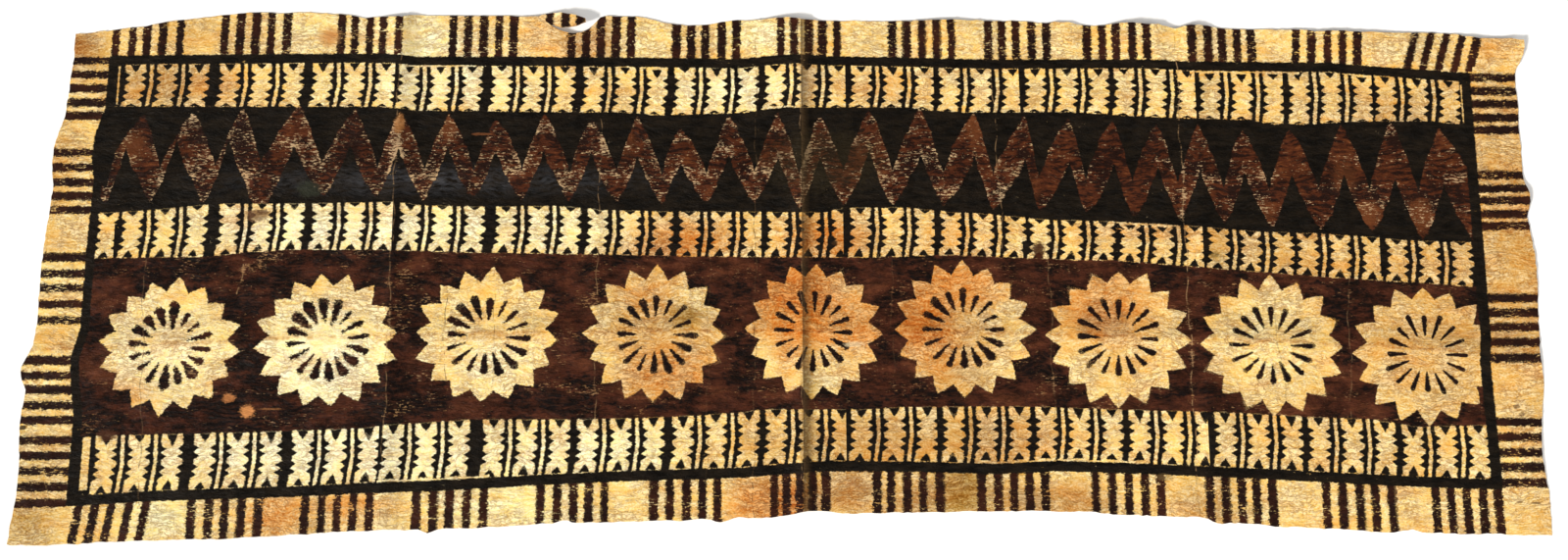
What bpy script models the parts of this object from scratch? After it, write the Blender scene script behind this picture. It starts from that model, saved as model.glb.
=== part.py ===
# A painted bark cloth, 1.8 m by 0.6 m: one sheet that lies face up on a level surface.
# It was kept folded in thirds and then across, so flat panels lie between soft creases.
# The edges are torn by hand: they wander, and some stretches stand off the surface.
# Metres, +Z up, +X along the cloth, +Y towards its far edge. The origin is under its middle.

import bmesh
import bpy
from math import ceil, cos, hypot, pi

MM = 0.001

# The sheet, as it was cut: its four sides and its thickness
LEFT = -0.903
RIGHT = 0.903
NEAR = -0.295
FAR = 0.330
THICKNESS = 0.0015
LARGEST_CELL = 0.026      # widest cell of the mesh between two creases
EDGE_DEPTH = 0.095        # how far inward an edge's wandering still shows
LIFT_DEPTH = 0.075        # how far inward a lifted stretch of an edge still stands off
CREST_POWER = 1.5         # 1 is a sharp tent, more draws the flanks in

# How far each edge bows out from the cut rectangle: place along it and outward amount, in mm
EDGE_BOWS = {
    "far": ((-900, -20), (-640, 8), (-450, 2), (-200, 1), (0, -5), (250, -5), (420, -9), (600, -16), (840, -20),
            (920, -31)),
    "near": ((-900, 19), (-700, 12), (-450, 1), (-200, -8), (50, -18), (300, -21), (450, -15), (600, -2), (750, 5),
             (905, 7)),
    "left": ((-310, 9), (0, -5), (310, -22)),
    "right": ((-300, -1), (-100, 4), (0, 5), (120, 1), (250, 2), (300, 5)),
}

# Bays and bulges of the edges: place, outward amount, height off the surface and half length, in mm
EDGE_WAVES = {
    "far": (
        {"at": -520, "out": -4, "lift": 0, "reach": 34},
        {"at": -482, "out": 5, "lift": 9, "reach": 42},
        {"at": -290, "out": 1, "lift": 6, "reach": 60},
        {"at": -120, "out": -10, "lift": 0, "reach": 72},
        {"at": 2, "out": 6, "lift": 10, "reach": 52},
        {"at": 205, "out": 2, "lift": 5, "reach": 70},
        {"at": 350, "out": 1, "lift": 4, "reach": 36},
        {"at": 382, "out": -3, "lift": 0, "reach": 34},
        {"at": 438, "out": 4, "lift": 12, "reach": 60},
        {"at": 480, "out": -8, "lift": 0, "reach": 26},
        {"at": 508, "out": 3, "lift": 8, "reach": 34},
        {"at": 700, "out": 0, "lift": 6, "reach": 150},
        {"at": 842, "out": 3, "lift": 6, "reach": 26},
        {"at": 925, "out": 0, "lift": 13, "reach": 90},
    ),
    "near": (
        {"at": -905, "out": 0, "lift": 5, "reach": 70},
        {"at": -22, "out": 3, "lift": 3, "reach": 50},
        {"at": 38, "out": -3, "lift": 0, "reach": 36},
        {"at": 480, "out": 0, "lift": 4, "reach": 50},
    ),
    "left": (
        {"at": 158, "out": 8, "lift": 5, "reach": 50},
        {"at": 30, "out": 5, "lift": 2, "reach": 60},
        {"at": -108, "out": 11, "lift": 6, "reach": 34},
        {"at": -180, "out": 4, "lift": 0, "reach": 60},
        {"at": -262, "out": -6, "lift": 3, "reach": 45},
    ),
    "right": (
        {"at": -195, "out": -6, "lift": 4, "reach": 70},
        {"at": 20, "out": 3, "lift": 2, "reach": 70},
        {"at": 103, "out": 7, "lift": 7, "reach": 27},
        {"at": 302, "out": 15, "lift": 8, "reach": 70},
    ),
}

# Creases from the far edge to the near one: where each meets them, its height and its two flanks, in mm
CROSS_CREASES = (
    {"name": "end", "far": -776, "near": -758, "rise": 2.0, "left": 26, "right": 26},
    {"name": "quarter", "far": -477, "near": -476, "rise": 7.0, "left": 18, "right": 30},
    {"name": "between", "far": -224, "near": -226, "rise": 2.5, "left": 28, "right": 28},
    {"name": "middle", "far": 21, "near": 24, "rise": 8.5, "left": 34, "right": 18},
    {"name": "cracked", "far": 254, "near": 268, "rise": 2.5, "left": 24, "right": 24},
    {"name": "valley_left", "far": 466, "near": 468, "rise": 3.5, "left": 36, "right": 21},
    {"name": "valley_right", "far": 508, "near": 510, "rise": 6.0, "left": 21, "right": 34},
    {"name": "last", "far": 687, "near": 674, "rise": 2.0, "left": 26, "right": 26},
)

# Creases from the left end to the right one, from folding the cloth in thirds: y at both ends and half way
LONG_CREASES = (
    {"name": "lower_third", "line": (-84, -61, -90), "rise": 6.5, "down": 48, "up": 34},
    {"name": "upper_third", "line": (128, 137, 112), "rise": 4.5, "down": 46, "up": 40},
)

# The tear in the far edge: a bay, and the strip torn from it, which stands up and points right. In mm
TEAR = {"at": -263, "depth": 22.5, "left": 40, "right": 35, "roundness": 0.8}
TONGUE_ROOT = (-310, -290)
TONGUE_RUNGS = (
    {"outer": (-298, 334.0), "inner": (-281, 317.5), "height": 8},
    {"outer": (-283, 335.5), "inner": (-272, 318.5), "height": 11},
    {"outer": (-269, 333.5), "inner": (-263, 320.0), "height": 13},
    {"outer": (-256, 330.0), "inner": (-255, 324.5), "height": 12},
)
TEAR_COLUMNS = (-310, -290, -276, -263, -240)


def remove_everything():
    for item in list(bpy.data.objects):
        bpy.data.objects.remove(item, do_unlink=True)


def bell(distance, reach):
    # 1 at no distance, falling smoothly to 0 at reach
    if abs(distance) >= reach:
        return 0.0
    return 0.5 + 0.5 * cos(pi * distance / reach)


def fade(distance, depth):
    # 1 at the edge, smoothly down to 0 at depth inward
    share = min(max(distance / depth, 0.0), 1.0)
    return 1.0 - share * share * (3.0 - 2.0 * share)


def bow(edge, place):
    # the smooth outward line of an edge, in metres
    knots = EDGE_BOWS[edge]
    if place <= knots[0][0] * MM:
        return knots[0][1] * MM
    for (start, low), (end, high) in zip(knots, knots[1:]):
        if place <= end * MM:
            share = (place - start * MM) / ((end - start) * MM)
            return (low + (high - low) * share * share * (3.0 - 2.0 * share)) * MM
    return knots[-1][1] * MM


def edge_out(edge, place):
    waves = sum(wave["out"] * bell(place - wave["at"] * MM, wave["reach"] * MM) for wave in EDGE_WAVES[edge])
    return bow(edge, place) + waves * MM


def edge_lift(edge, place):
    return MM * sum(wave["lift"] * bell(place - wave["at"] * MM, wave["reach"] * MM) for wave in EDGE_WAVES[edge])


def tear_depth(x):
    distance = x - TEAR["at"] * MM
    reach = (TEAR["left"] if distance < 0 else TEAR["right"]) * MM
    if abs(distance) >= reach:
        return 0.0
    return TEAR["depth"] * MM * cos(0.5 * pi * distance / reach) ** TEAR["roundness"]


def stations(marks):
    # lines over the sheet at every mark, with even ones between them; a line is two or three places
    lines = sorted(marks)
    result = [lines[0]]
    for line in lines[1:]:
        last = result[-1]
        steps = ceil(max(b - a for a, b in zip(last, line)) / LARGEST_CELL)
        for step in range(1, steps + 1):
            result.append(tuple(a + (b - a) * step / steps for a, b in zip(last, line)))
    return result


def columns():
    # (x at the far edge, x at the near edge), left to right
    marks = [(place * MM, place * MM) for place in TEAR_COLUMNS]
    marks += [(LEFT, LEFT), (RIGHT, RIGHT)]
    for crease in CROSS_CREASES:
        for side in (-crease["left"], 0, crease["right"]):
            marks.append(((crease["far"] + side) * MM, (crease["near"] + side) * MM))
    return stations(marks)


def rows():
    # (y at the left end, y half way, y at the right end), near to far
    marks = [(NEAR, NEAR, NEAR), (FAR, FAR, FAR)]
    for crease in LONG_CREASES:
        for side in (-crease["down"], 0, crease["up"]):
            marks.append(tuple((place + side) * MM for place in crease["line"]))
    return stations(marks)


def bent(line, x):
    # y at x of a line that bends evenly through its places at both ends and half way
    share = x / RIGHT
    left, middle, right = line
    return middle + 0.5 * (right - left) * share + (0.5 * (left + right) - middle) * share * share


def flank(distance, before, after):
    # profile of a crease: sharp at its crest, flat at the foot of both flanks
    reach = (before if distance < 0 else after) * MM
    return max(0.0, 1.0 - abs(distance) / reach) ** CREST_POWER


def height(x, y):
    across = 0.0
    for crease in CROSS_CREASES:
        share = (y - NEAR) / (FAR - NEAR)
        crest = (crease["near"] + (crease["far"] - crease["near"]) * share) * MM
        across = max(across, crease["rise"] * MM * flank(x - crest, crease["left"], crease["right"]))
    along = 0.0
    for crease in LONG_CREASES:
        along += crease["rise"] * MM * flank(y - bent(crease["line"], x) * MM, crease["down"], crease["up"])
    lifts = (
        edge_lift("far", x) * fade(FAR - y, LIFT_DEPTH),
        edge_lift("near", x) * fade(y - NEAR, LIFT_DEPTH),
        edge_lift("left", y) * fade(x - LEFT, LIFT_DEPTH),
        edge_lift("right", y) * fade(RIGHT - x, LIFT_DEPTH),
    )
    return hypot(hypot(across, along), max(lifts))


def outline(x, y):
    # the place on the wandering sheet of a point of the cut rectangle
    ends_x = edge_out("right", y) * fade(RIGHT - x, EDGE_DEPTH)
    ends_x -= edge_out("left", y) * fade(x - LEFT, EDGE_DEPTH)
    sides_y = (edge_out("far", x) - tear_depth(x)) * fade(FAR - y, EDGE_DEPTH)
    sides_y -= edge_out("near", x) * fade(y - NEAR, EDGE_DEPTH)
    return x + ends_x, y + sides_y


def sheet_mesh():
    across = columns()
    along = rows()
    sheet = bmesh.new()
    bmesh.ops.create_grid(sheet, x_segments=len(across) - 1, y_segments=len(along) - 1, size=1.0)
    for vert in sheet.verts:
        far, near = across[round((vert.co.x + 1.0) * 0.5 * (len(across) - 1))]
        line = along[round((vert.co.y + 1.0) * 0.5 * (len(along) - 1))]
        y = bent(line, 0.5 * (far + near))
        x = near + (far - near) * (y - NEAR) / (FAR - NEAR)
        vert.co.x, vert.co.y = outline(x, y)
        vert.co.z = height(x, y)
    add_tongue(sheet)
    bmesh.ops.recalc_face_normals(sheet, faces=sheet.faces)
    if sum(face.normal.z for face in sheet.faces) < 0.0:
        bmesh.ops.reverse_faces(sheet, faces=sheet.faces)
    mesh = bpy.data.meshes.new("bark_cloth")
    sheet.to_mesh(mesh)
    sheet.free()
    return mesh


def add_tongue(sheet):
    # the torn strip grows from the edge left of the tear, one rung after another
    def is_root(edge):
        middle = (edge.verts[0].co + edge.verts[1].co) * 0.5
        return edge.is_boundary and middle.y > 0.0 and TONGUE_ROOT[0] * MM < middle.x < TONGUE_ROOT[1] * MM

    rung = [edge for edge in sheet.edges if is_root(edge)]
    for row in TONGUE_RUNGS:
        grown = bmesh.ops.extrude_edge_only(sheet, edges=rung)["geom"]
        ends = sorted((part for part in grown if isinstance(part, bmesh.types.BMVert)), key=lambda v: v.co.x)
        for vert, place in zip(ends, (row["outer"], row["inner"])):
            vert.co = (place[0] * MM, place[1] * MM, row["height"] * MM)
        rung = [part for part in grown if isinstance(part, bmesh.types.BMEdge)]


def centre_over_origin(mesh):
    # the middle of the sheet's box goes over the origin
    for axis in (0, 1):
        places = [vert.co[axis] for vert in mesh.vertices]
        middle = 0.5 * (min(places) + max(places))
        for vert in mesh.vertices:
            vert.co[axis] -= middle


def bark_material():
    material = bpy.data.materials.new("printed bark")
    material.use_nodes = True
    shader = material.node_tree.nodes["Principled BSDF"]
    shader.inputs["Base Color"].default_value = (0.27, 0.19, 0.11, 1.0)
    shader.inputs["Roughness"].default_value = 0.72
    shader.inputs["Metallic"].default_value = 0.0
    return material


def build():
    remove_everything()
    group = bpy.data.collections.new("painted bark cloth")
    bpy.context.scene.collection.children.link(group)
    mesh = sheet_mesh()
    centre_over_origin(mesh)
    cloth = bpy.data.objects.new("bark_cloth", mesh)
    group.objects.link(cloth)
    mesh.materials.append(bark_material())
    wall = cloth.modifiers.new("thickness", "SOLIDIFY")
    wall.thickness = THICKNESS
    wall.offset = 1.0      # grows upward, so that the underside is what rests


build()
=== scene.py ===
# Printed bark cloth laid face up on a pale floor, seen from almost straight above.
# Places on the cloth are in millimetres on its cut sheet: x to the right, y away from the camera,
# both from the spot under the middle of the picture. Everything in the scene itself is in metres.
import math
from functools import partial, reduce

import bmesh
import bpy
import numpy as np
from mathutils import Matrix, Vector, noise


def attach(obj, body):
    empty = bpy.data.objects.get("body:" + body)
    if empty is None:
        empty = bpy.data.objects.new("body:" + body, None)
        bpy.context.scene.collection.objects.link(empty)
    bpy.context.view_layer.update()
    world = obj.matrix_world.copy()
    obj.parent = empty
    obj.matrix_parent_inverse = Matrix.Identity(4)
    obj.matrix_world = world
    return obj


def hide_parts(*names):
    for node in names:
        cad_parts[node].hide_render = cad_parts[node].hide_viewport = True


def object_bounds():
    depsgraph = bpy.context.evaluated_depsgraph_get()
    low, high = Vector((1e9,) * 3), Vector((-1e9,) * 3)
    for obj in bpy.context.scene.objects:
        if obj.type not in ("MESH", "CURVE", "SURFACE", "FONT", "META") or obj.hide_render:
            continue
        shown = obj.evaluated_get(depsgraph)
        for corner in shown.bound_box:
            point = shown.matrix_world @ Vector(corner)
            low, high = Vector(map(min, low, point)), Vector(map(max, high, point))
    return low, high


mm = 0.001
camera = {"lens": 26.0, "sensor": 36.0, "distance": 1.37, "tilt": 7.5}

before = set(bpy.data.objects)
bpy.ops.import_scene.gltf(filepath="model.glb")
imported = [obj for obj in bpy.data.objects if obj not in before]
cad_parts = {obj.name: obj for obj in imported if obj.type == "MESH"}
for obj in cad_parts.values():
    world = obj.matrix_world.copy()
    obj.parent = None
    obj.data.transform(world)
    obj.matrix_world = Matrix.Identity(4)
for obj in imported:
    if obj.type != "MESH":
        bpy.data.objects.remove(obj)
cadLow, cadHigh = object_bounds()
bpy.ops.object.select_all(action="DESELECT")
print("frame loaded")


# The sheet: sides of the cut rectangle, its thickness, the fineness of its mesh, how far in from an
# edge its bow and its lift fade out, and how sharp the crests of the creases are
sheet = {
    "left": -903, "right": 903, "near": -295, "far": 330, "thickness": 1.3, "cell": 5.5, "edgeDepth": 95,
    "liftDepth": 75, "crestPower": 1.5,
}

# How far each edge bows out from the cut rectangle: place along it, outward amount
edgeBows = {
    "far": (
        (-900, -20), (-640, 6), (-450, 2), (-200, 1), (0, -5), (250, -5), (420, -9), (600, -16),
        (830, -21), (875, -27), (925, -30)),
    "near": (
        (-900, 19), (-700, 12), (-450, 1), (-200, -8), (50, -18), (300, -21), (450, -15), (600, -2),
        (750, 5), (905, 7)),
    "left": ((-310, 9), (0, -5), (310, -22)),
    "right": ((-300, -1), (-100, 4), (0, 5), (120, 1), (250, 2), (300, 5)),
}

# Bays, bulges and lifted stretches: place, outward amount, height off the floor, half length
edgeWaves = {
    "far": (
        (-900, -1, 0, 50), (-520, -4, 0, 34), (-484, -1, 9, 30), (-290, 1, 6, 60), (-120, -10, 0, 72),
        (2, 5, 10, 52), (205, 2, 5, 70), (350, 1, 4, 36), (382, -3, 0, 34), (445, 2, 12, 60),
        (486, -4, 0, 20), (508, 3, 8, 34), (700, 0, 6, 150), (850, -2, 6, 26), (925, 0, 13, 90)),
    "near": (
        (-905, 0, 5, 70), (-418, 4, 0, 14), (-259, -4, 0, 16), (-75, 5, 0, 24), (-22, 3, 3, 50),
        (38, -3, 0, 36), (480, 0, 4, 50), (511, 4, 0, 16), (737, -4, 0, 22)),
    "left": ((158, 8, 5, 50), (20, 1, 2, 40), (-108, 11, 6, 34), (-160, 3, 0, 30), (-240, -5, 3, 60)),
    "right": ((-195, -6, 4, 70), (20, 3, 2, 70), (103, 7, 7, 27), (328, 13, 8, 62)),
}

# Creases across the sheet: x at the far and near edge, height, width of the left and right flank
crossCreases = (
    (-776, -758, 2.0, 26, 26), (-477, -476, 7.0, 18, 30), (-224, -226, 2.5, 28, 28), (21, 24, 8.5, 34, 18),
    (254, 268, 2.5, 24, 24), (466, 468, 3.5, 36, 21), (508, 510, 6.0, 21, 34), (687, 674, 2.0, 26, 26),
)

# Creases along it, from folding in thirds: y at the left end, half way and right end, height, flanks
longCreases = (((-84, -61, -90), 6.5, 48, 34), ((128, 137, 112), 4.5, 46, 40))

# The tear in the far edge and the strip torn from it, which stands up and points right
tear = {"at": -263, "depth": 22.5, "left": 40, "right": 35, "roundness": 0.8}
tongue = {
    "root": (-310, -290), "steps": 14,
    "outer": ((-310, 331), (-296, 335), (-279, 336.5), (-262, 334), (-248, 329.5)),
    "inner": ((-290, 322), (-279, 317), (-268, 317.5), (-257, 319.5), (-247, 324.5)),
    "height": (6, 8, 11, 13, 12), "curl": 2.5, "raggedUp": 0.6, "raggedOut": 0.8,
    "printed": (-304, -240), "stripes": (-330, -254),
}

# Softer relief between the creases: wavelength along and across the sheet, height
relief = ((150, 70, 1.5), (75, 19, 1.5), (26, 9, 0.6), (12, 30, 0.4))
# Small teeth of the torn edges: length, amount; and how far they reach into the sheet
fray = ((34, 1.6), (9, 0.9), (3.7, 0.9))
frayDepth = 8


def bell(distance, reach):
    share = np.clip(np.abs(distance) / reach, 0.0, 1.0)
    return 0.5 + 0.5 * np.cos(np.pi * share)


def fade(distance, depth):
    share = np.clip(distance / depth, 0.0, 1.0)
    return 1.0 - share * share * (3.0 - 2.0 * share)


def knotted(knots, place):
    # straight between the knots of a table of (place, value) pairs
    table = np.array(knots, float)
    return np.interp(place, table[:, 0], table[:, 1])


def bow(edge, place):
    # the same, but easing in and out of each knot
    starts, amounts = np.array(edgeBows[edge], float).T
    index = np.clip(np.searchsorted(starts, place, side="right") - 1, 0, len(starts) - 2)
    share = np.clip((place - starts[index]) / (starts[index + 1] - starts[index]), 0.0, 1.0)
    return amounts[index] + (amounts[index + 1] - amounts[index]) * share * share * (3.0 - 2.0 * share)


def edgePlaces(x, y):
    # for each edge the place along it and the distance inward from it
    return {"right": (y, sheet["right"] - x), "left": (y, x - sheet["left"]),
            "far": (x, sheet["far"] - y), "near": (x, y - sheet["near"])}


def edgeOut(edge, place):
    return bow(edge, place) + sum(out * bell(place - at, reach) for at, out, _, reach in edgeWaves[edge])


def edgeLift(edge, place):
    return sum(lift * bell(place - at, reach) for at, _, lift, reach in edgeWaves[edge])


def tearDepth(x):
    distance = x - tear["at"]
    reach = np.where(distance < 0, tear["left"], tear["right"])
    inside = np.cos(0.5 * np.pi * np.clip(np.abs(distance) / reach, 0.0, 1.0))
    return tear["depth"] * np.maximum(inside, 0.0) ** tear["roundness"]


def bent(line, x):
    left, middle, right = line
    share = x / sheet["right"]
    return middle + 0.5 * (right - left) * share + (0.5 * (left + right) - middle) * share * share


def flank(distance, before, after):
    reach = np.where(distance < 0, before, after)
    return np.maximum(0.0, 1.0 - np.abs(distance) / reach) ** sheet["crestPower"]


def wavy(x, y, seed):
    # smooth noise from -1 to 1 at each point of two arrays
    points = zip(x.ravel().tolist(), y.ravel().tolist())
    return np.array([noise.noise(Vector((a, b, seed))) for a, b in points]).reshape(x.shape)


def crestPlace(crease, y):
    return crease[1] + (crease[0] - crease[1]) * (y - sheet["near"]) / (sheet["far"] - sheet["near"])


def height(x, y):
    across = np.zeros_like(x)
    for number, crease in enumerate(crossCreases):
        rise = crease[2] * (0.86 + 0.2 * wavy(x * 0.0, y / 70, 3.1 + number))
        across = np.maximum(across, rise * flank(x - crestPlace(crease, y), crease[3], crease[4]))
    along = np.zeros_like(x)
    for number, (line, rise, down, up) in enumerate(longCreases):
        uneven = rise * (0.85 + 0.35 * wavy(x / 130, y * 0.0, 21.5 + number))
        along += uneven * flank(y - bent(line, x), down, up)
    lifts = np.maximum.reduce([edgeLift(edge, place) * fade(inward, sheet["liftDepth"])
                               for edge, (place, inward) in edgePlaces(x, y).items()])
    soft = sum(rise * np.maximum(0.0, wavy(x / wide, y / deep, 40.0 + rise)) for wide, deep, rise in relief)
    return np.hypot(np.hypot(across, along), lifts) + soft


def towardCamera(x, y, z, way):
    # Sizes were read off the floor plane through the lens. A point that stands z above it lies nearer
    # to the spot under the camera than it looks: way 1 goes from how it looks to where it is, -1 back.
    foot = -camera["distance"] / mm * math.sin(math.radians(camera["tilt"]))
    high = camera["distance"] / mm * math.cos(math.radians(camera["tilt"]))
    scale = (1.0 - z / high) ** way
    return x * scale, foot + (y - foot) * scale


def frayed(place, seed):
    return sum(amount * wavy(place / length, place * 0.0 + seed, length) for length, amount in fray)


def outline(x, y, torn=True):
    # where a point of the cut rectangle lies on the wandering sheet, with or without its ragged edges
    moved = {}
    for number, (edge, (place, inward)) in enumerate(edgePlaces(x, y).items()):
        out = edgeOut(edge, place) - (tearDepth(x) if edge == "far" else 0.0)
        moved[edge] = out * fade(inward, sheet["edgeDepth"])
        if torn:
            moved[edge] = moved[edge] + frayed(place, 7.0 * number) * fade(inward, frayDepth)
    return x + moved["right"] - moved["left"], y + moved["far"] - moved["near"]


def stations(marks):
    # lines over the sheet at every mark, with even ones between them
    lines = sorted(marks)
    result = [lines[0]]
    for line in lines[1:]:
        last = result[-1]
        steps = math.ceil(max(b - a for a, b in zip(last, line)) / sheet["cell"])
        result += [tuple(a + (b - a) * step / steps for a, b in zip(last, line))
                   for step in range(1, steps + 1)]
    return np.array(result, float)


def sheetLines():
    across = [(place, place) for place in (sheet["left"], sheet["right"], *tongue["root"], tear["at"])]
    across += [(far + side, near + side) for far, near, _, left, right in crossCreases
               for side in (-left, 0, right)]
    along = [(sheet["near"],) * 3, (sheet["far"],) * 3]
    along += [tuple(place + side for place in line) for line, _, down, up in longCreases
              for side in (-down, 0, up)]
    return stations(across), stations(along)


def oneRow(values):
    return np.ascontiguousarray(values, dtype=np.float32).ravel()


def readOff(items, name, wide=3):
    # a named vector, or a whole number, of every vertex, face or corner
    values = np.zeros(len(items) * wide, np.float32 if wide > 1 else np.int32)
    items.foreach_get(name, values)
    return values.reshape(-1, wide) if wide > 1 else values


def placed(mesh, places):
    mesh.vertices.foreach_set("co", oneRow(places))
    mesh.update()


def growTongue(piece):
    # the torn strip grows from the edge left of the tear, one short step after another
    shape = bmesh.new()
    shape.from_mesh(piece.data)
    low, high = (place * mm for place in tongue["root"])

    def isRoot(edge):
        middle = (edge.verts[0].co + edge.verts[1].co) * 0.5
        return edge.is_boundary and middle.y > 0.0 and low < middle.x < high

    rung = [edge for edge in shape.edges if isRoot(edge)]
    knots = np.column_stack([tongue["outer"], tongue["inner"], tongue["height"]])
    rows = np.arange(len(knots))
    for step in range(1, tongue["steps"] + 1):
        share = step / tongue["steps"] * rows[-1]
        outerX, outerY, innerX, innerY, lift = (np.interp(share, rows, values) for values in knots.T)
        grown = bmesh.ops.extrude_edge_only(shape, edges=rung)["geom"]
        ends = sorted((part for part in grown if isinstance(part, bmesh.types.BMVert)), key=lambda v: v.co.x)
        if step > 1:
            ends = sorted(ends, key=lambda v: -v.co.y)
        for number, vert in enumerate(ends):
            part = number / (len(ends) - 1)
            x, y = outerX + (innerX - outerX) * part, outerY + (innerY - outerY) * part
            ragged = noise.noise(Vector((step * 0.9, number * 0.7, 5.0)))
            z = lift + tongue["curl"] * (part - 0.5) ** 2 + tongue["raggedUp"] * ragged
            x, y = towardCamera(x, y + tongue["raggedOut"] * ragged, z, 1)
            vert.co = (x * mm, y * mm, z * mm)
        rung = [part for part in grown if isinstance(part, bmesh.types.BMEdge)]
    shape.to_mesh(piece.data)
    shape.free()


def makeCloth():
    across, along = sheetLines()
    wide, deep = len(across) - 1, len(along) - 1
    bpy.ops.mesh.primitive_grid_add(x_subdivisions=wide, y_subdivisions=deep, size=2.0)
    piece = bpy.context.object
    piece.name = "bark_cloth_sheet"
    grid = readOff(piece.data.vertices, "co")
    column = np.rint((grid[:, 0] + 1.0) * 0.5 * wide).astype(int)
    row = np.rint((grid[:, 1] + 1.0) * 0.5 * deep).astype(int)
    far, near = across[column].T
    y = bent(along[row].T, 0.5 * (far + near))
    x = near + (far - near) * (y - sheet["near"]) / (sheet["far"] - sheet["near"])
    smooth = np.stack(outline(x, y, torn=False), axis=1)
    middleOfBox = 0.5 * (smooth.min(axis=0) + smooth.max(axis=0))
    z = height(x, y)
    flatX, flatY = towardCamera(*outline(x, y), z, 1)
    placed(piece.data, np.stack([flatX, flatY, z], axis=1) * mm)
    growTongue(piece)
    bpy.ops.object.select_all(action="DESELECT")
    piece.select_set(True)
    bpy.context.view_layer.objects.active = piece
    bpy.ops.object.mode_set(mode="EDIT")
    bpy.ops.mesh.select_all(action="SELECT")
    bpy.ops.mesh.normals_make_consistent(inside=False)
    bpy.ops.object.mode_set(mode="OBJECT")
    if sum(face.normal.z for face in piece.data.polygons) < 0.0:
        piece.data.flip_normals()
    wall = piece.modifiers.new("thickness", "SOLIDIFY")
    wall.thickness = sheet["thickness"] * mm
    wall.offset = 1.0
    bpy.ops.object.modifier_apply(modifier=wall.name)
    return piece, middleOfBox


cloth, boxMiddle = makeCloth()
print("sheet made:", len(cloth.data.polygons), "faces")


# The print's layout. Bands run along the sheet: x of a few places and y of each line there
bandLines = {
    "frameFar": (
        (-838, 281), (-560, 283.6), (-490, 283.6), (-455, 279.8), (-300, 279.5), (-100, 277.5),
        (-60, 276.4), (0, 282), (20, 283.2), (50, 280.5), (150, 278.6), (250, 276), (450, 276.4),
        (500, 273.6), (675, 271.8), (775, 263.9), (840, 259.3)),
    "frameNear": (
        (-835, -269), (-760, -263.6), (-625, -259.5), (-575, -258), (-500, -254), (-425, -251.8),
        (-350, -248), (-300, -245), (-200, -240.5), (-100, -237.5), (-50, -236), (0, -231.8), (50, -228.4),
        (150, -229), (250, -231.8), (325, -228.4), (400, -230.7), (550, -236.6), (750, -246.6),
        (850, -250)),
    "strip1Near": (
        (-830, 216), (-500, 216), (-450, 211), (-300, 209.3), (-200, 208.6), (-150, 204.8), (-50, 208.4),
        (0, 215), (150, 215), (175, 212), (225, 208.4), (350, 209.3), (420, 204.8), (475, 201.8),
        (575, 199), (600, 194), (650, 194), (700, 197.3), (800, 197.3), (830, 193.4)),
    "strip2Far": (
        (-830, 82), (-750, 87.7), (-700, 93.4), (-550, 94.5), (-475, 96.4), (-450, 92.3), (-375, 90),
        (-275, 91), (-225, 86), (-150, 84), (50, 83.2), (75, 88.9), (150, 88.9), (200, 83.6), (250, 80.9),
        (320, 74), (400, 71.8), (500, 66), (575, 59.3), (650, 57), (700, 53.6), (750, 49), (800, 46.4),
        (830, 46.4)),
    "strip2Near": (
        (-830, 26.8), (-700, 28.6), (-650, 34), (-600, 37.3), (-500, 37.3), (-375, 33.6), (-200, 31),
        (-100, 28.6), (100, 27.5), (200, 30.5), (250, 28.6), (350, 24.5), (400, 24), (500, 16), (600, 8),
        (650, 4), (730, -1), (835, -8)),
    "strip3Far": (
        (-835, -187), (-650, -183), (-500, -178), (-475, -173.9), (-425, -171.6), (-375, -167.5),
        (-250, -167.5), (-175, -166), (-100, -162.5), (-50, -159), (-25, -155.5), (100, -155.5),
        (150, -152.3), (300, -152.3), (400, -155.7), (525, -159), (650, -165.5), (700, -167), (750, -176),
        (835, -174)),
}
frameSides = {
    "left": (
        (-265, -847), (-160, -847), (-125, -853), (-95, -856), (-60, -847), (50, -847), (125, -845),
        (150, -850), (180, -848), (215, -838), (281, -838)),
    "right": ((-265, 850), (-110, 847), (-95, 847), (-70, 850), (280, 850)),
}
frameWidth = {"far": 12.2, "near": 12.6, "left": 11, "right": 13}

# Where the toothed stencil was laid down in each strip: x of the middle of its first block.
# Then how deep the black notches in the far and near ends of its blocks are,
# and how far beyond the middle of the strip the teeth are centred.
stencilPrints = (
    {
        "starts": (-804, -687, -572, -465, -350, -236, -123, -11, 95.5, 204.5, 311, 421, 527, 637, 744),
        "notches": (9.5, 3.6), "teeth": -2.4, "far": "frameFar", "near": "strip1Near"},
    {
        "starts": (-902, -794, -676, -563, -456, -339, -227, -115.5, -8, 93, 203, 311, 421, 528, 636, 744),
        "notches": (6.5, 9.5), "teeth": 0.0, "far": "strip2Far", "near": "strip2Near"},
    {
        "starts": (-805, -688, -572, -465, -345.5, -234, -120.5, -9.5, 92, 202, 312, 423, 525, 636, 747),
        "notches": (12.5, 10.5), "teeth": 0.0, "far": "strip3Far", "near": "frameNear"},
)
stencilPitch = 39.2
# Where a pale rim closes the notches: strip, from x, to x, and whether it is the far end
stencilRims = (
    (0, 505, 640, True), (0, 690, 730, True), (1, 400, 480, True), (2, -480, -350, False),
    (2, 228, 425, False), (0, -30, 12, False), (0, -178, -142, True),
)
rimWidth = 3.2
# How far left of its first block's middle a print begins
printStart = 18.5

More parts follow.
